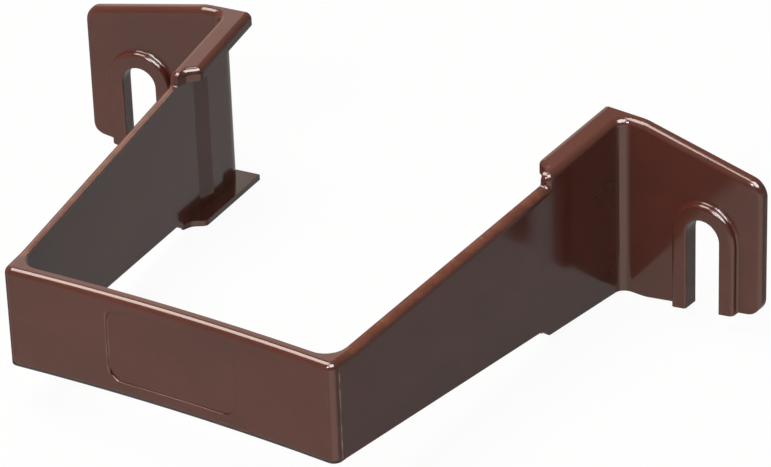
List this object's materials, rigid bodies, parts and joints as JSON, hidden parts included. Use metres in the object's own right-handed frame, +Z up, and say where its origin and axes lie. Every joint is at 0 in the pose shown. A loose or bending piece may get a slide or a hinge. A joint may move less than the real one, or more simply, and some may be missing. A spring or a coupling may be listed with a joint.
{
  "type": "downpipe clip",
  "caption": "One-piece moulded clip that holds a square rainwater downpipe off a wall: bowed front band, splayed tapering arms and feet with open fixing slots.",
  "frame": {"origin": "on the wall plane that the rear corners touch, midway between the feet, at half the height of the band", "axes": "+X along the wall towards the right foot, +Y into the wall, +Z up along the pipe"},
  "size_m": [0.1496, 0.0898, 0.0372],
  "materials": {
    "plastic": "gloss brown"
  },
  "bodies": {
    "root": {"downpipe_clip": "plastic"}
  },
  "joints": []
}
